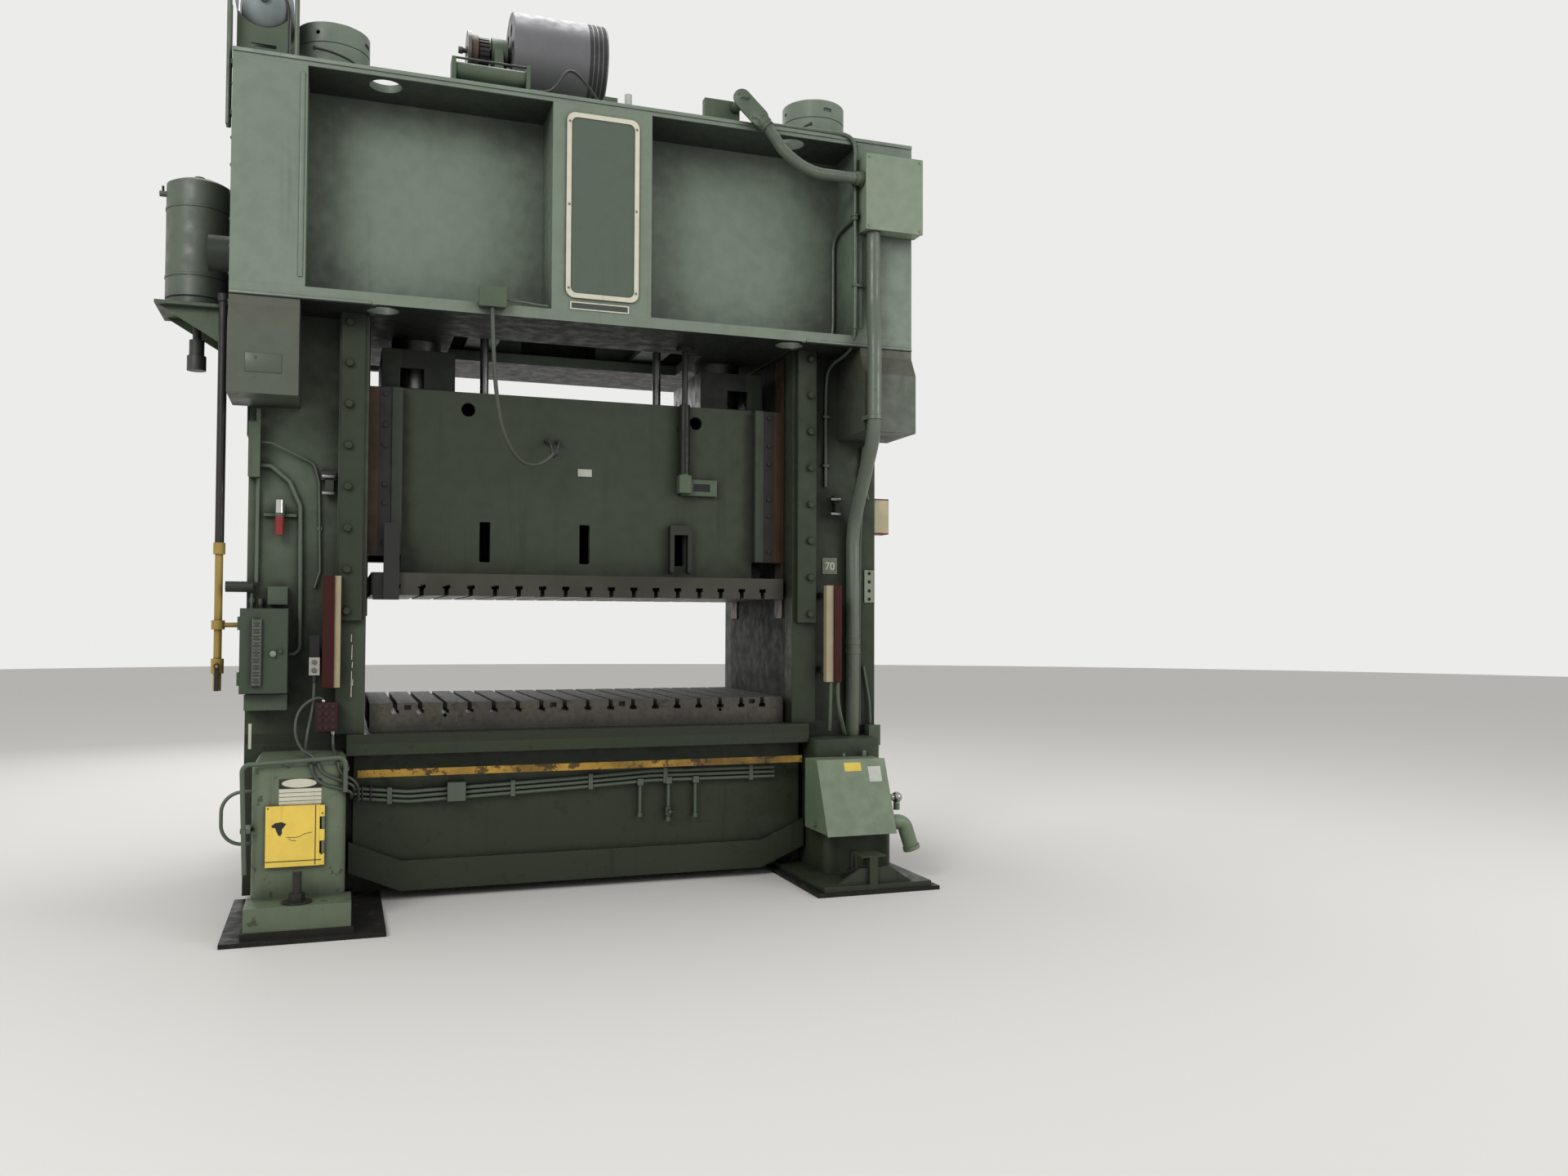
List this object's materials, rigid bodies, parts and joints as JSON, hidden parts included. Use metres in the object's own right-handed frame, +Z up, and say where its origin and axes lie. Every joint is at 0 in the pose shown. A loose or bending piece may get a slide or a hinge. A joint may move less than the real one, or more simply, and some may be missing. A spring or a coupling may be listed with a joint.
{
  "type": "straight side press",
  "caption": "Straight-side mechanical press with tie-rod frame, slotted bolster and slide, geared drive on the crown, light-curtain bars, air tanks and control boxes.",
  "frame": {"origin": "on the floor, in the middle of the die space", "axes": "+X to the right seen from the front, +Y to the back, +Z up"},
  "size_m": [4.89, 3.4, 6.045],
  "materials": {
    "green_paint": "satin sage green machine paint, oily and grimy lower down",
    "oiled_steel": "machined steel plate darkened brown by oil and wear",
    "machined_steel": "machined steel, lightly oiled",
    "dark_steel": "dark, oily steel",
    "bronze": "oiled bronze, brown",
    "cast_drum": "turned cast iron rim, dull grey",
    "belt_rubber": "black rubber belts",
    "grey_cable": "grey-green sleeve",
    "yellow_paint": "yellow paint, scuffed and oily",
    "red_paint": "dark red enamel",
    "black_plastic": "black moulded housing",
    "grey_plastic": "grey push button caps",
    "white_trim": "off-white enamel, aged"
  },
  "bodies": {
    "frame": {"bed": "green_paint", "bolster": "oiled_steel", "left_upright": "green_paint", "right_upright": "green_paint", "crown": "green_paint", "crown_corner_covers": "green_paint", "tie_rods": "machined_steel", "tie_rod_nuts": "green_paint", "gib_strips": "green_paint", "gib_strip_bolts": "green_paint", "frame_guides": "bronze", "front_left_foot": "green_paint", "front_right_foot": "green_paint", "rear_feet": "green_paint", "sole_plates": "dark_steel", "anchor_bolts": "machined_steel", "name_plate": "white_trim", "small_plates": "white_trim", "junction_box": "green_paint", "main_conduit": "green_paint", "flexible_conduit": "green_paint", "small_boxes": "green_paint", "slide_cable": "grey_cable", "left_conduits": "green_paint", "lube_cabinet": "green_paint", "brackets": "green_paint", "light_curtain_bars": "red_paint", "button_station": "black_plastic", "lamp_box": "red_paint", "air_tanks": "green_paint", "supply_pipe": "green_paint", "front_rail": "yellow_paint", "bed_conduits": "green_paint", "control_box": "green_paint", "drive_pedestal": "green_paint", "drive_motor": "green_paint", "drive_belts": "belt_rubber", "counter_rod": "machined_steel"},
    "slide": {"slide": "green_paint", "slide_t_slot_plate": "oiled_steel", "slide_shoes": "dark_steel", "slide_liners": "bronze", "plungers": "machined_steel", "height_counter": "green_paint", "slide_brackets": "dark_steel"},
    "left_pitman": {"left_pitman": "machined_steel"},
    "right_pitman": {"right_pitman": "machined_steel"},
    "left_main_gear": {"left_main_gear": "machined_steel"},
    "right_main_gear": {"right_main_gear": "machined_steel"},
    "cross_shaft": {"cross_shaft": "machined_steel"},
    "idler_gear": {"idler_gear": "machined_steel"},
    "drive_shaft": {"drive_shaft": "machined_steel"},
    "flywheel": {"flywheel": "cast_drum"},
    "motor_pulley": {"motor_pulley": "machined_steel"},
    "foot_door": {"foot_door": "yellow_paint"},
    "lube_door": {"lube_door": "green_paint"},
    "upper_button": {"upper_button": "grey_plastic"},
    "lower_button": {"lower_button": "grey_plastic"},
    "supply_valve_lever": {"supply_valve_lever": "machined_steel"},
    "bed_valve_handle": {"bed_valve_handle": "machined_steel"}
  },
  "joints": [
    {"name": "slide_travel", "type": "slide", "parent": "frame", "child": "slide", "axis": [0, 0, 1], "range_m": [-0.2105, 0.0943]},
    {"name": "left_pitman_swing", "type": "hinge", "parent": "slide", "child": "left_pitman", "pos_m": [-1.08, 0, 3.4], "axis": [1, 0, 0], "range_deg": [-0.4, 17.9]},
    {"name": "right_pitman_swing", "type": "hinge", "parent": "slide", "child": "right_pitman", "pos_m": [1.08, 0, 3.4], "axis": [1, 0, 0], "range_deg": [-0.4, 17.9]},
    {"name": "left_main_gear_turn", "type": "hinge", "parent": "frame", "child": "left_main_gear", "pos_m": [-1.365, 0, 4.3], "axis": [1, 0, 0], "continuous": true},
    {"name": "right_main_gear_turn", "type": "hinge", "parent": "frame", "child": "right_main_gear", "pos_m": [1.365, 0, 4.3], "axis": [1, 0, 0], "continuous": true},
    {"name": "cross_shaft_turn", "type": "hinge", "parent": "frame", "child": "cross_shaft", "pos_m": [0, 0.22, 4.901], "axis": [1, 0, 0], "continuous": true},
    {"name": "idler_turn", "type": "hinge", "parent": "frame", "child": "idler_gear", "pos_m": [-0.65, 0.1309, 5.46399], "axis": [1, 0, 0], "continuous": true},
    {"name": "drive_shaft_turn", "type": "hinge", "parent": "frame", "child": "drive_shaft", "pos_m": [-0.65, 0, 5.745], "axis": [1, 0, 0], "continuous": true},
    {"name": "flywheel_turn", "type": "hinge", "parent": "frame", "child": "flywheel", "pos_m": [0, 0, 5.745], "axis": [1, 0, 0], "continuous": true},
    {"name": "motor_pulley_turn", "type": "hinge", "parent": "frame", "child": "motor_pulley", "pos_m": [0.1, 0.76, 5.42], "axis": [1, 0, 0], "continuous": true},
    {"name": "foot_door_hinge", "type": "hinge", "parent": "frame", "child": "foot_door", "pos_m": [-1.627, -1.436, 0.53], "axis": [0, 0, 1], "range_deg": [0, 110]},
    {"name": "lube_door_hinge", "type": "hinge", "parent": "frame", "child": "lube_door", "pos_m": [-2.118, -0.854, 1.545], "axis": [0, 0, -1], "range_deg": [0, 110]},
    {"name": "upper_button_push", "type": "slide", "parent": "frame", "child": "upper_button", "axis": [0, 1, 0], "range_m": [0, 0.004], "stiffness_N_per_m": 600, "springref_m": -0.002},
    {"name": "lower_button_push", "type": "slide", "parent": "frame", "child": "lower_button", "axis": [0, 1, 0], "range_m": [0, 0.004], "stiffness_N_per_m": 600, "springref_m": -0.002},
    {"name": "supply_valve_turn", "type": "hinge", "parent": "frame", "child": "supply_valve_lever", "pos_m": [-2.25, -0.6, 1.45], "axis": [0, 1, 0], "range_deg": [0, 90]},
    {"name": "bed_valve_turn", "type": "hinge", "parent": "frame", "child": "bed_valve_handle", "pos_m": [0.523, -0.831, 0.471], "axis": [0, 1, 0], "range_deg": [0, 90]}
  ],
  "couplings": [
    {"joint": "right_main_gear_turn", "follows": "left_main_gear_turn", "ratio": 1},
    {"joint": "cross_shaft_turn", "follows": "left_main_gear_turn", "ratio": -4.3333},
    {"joint": "idler_turn", "follows": "left_main_gear_turn", "ratio": 7.4286},
    {"joint": "drive_shaft_turn", "follows": "left_main_gear_turn", "ratio": -15.6},
    {"joint": "motor_pulley_turn", "follows": "flywheel_turn", "ratio": 2.5929}
  ]
}
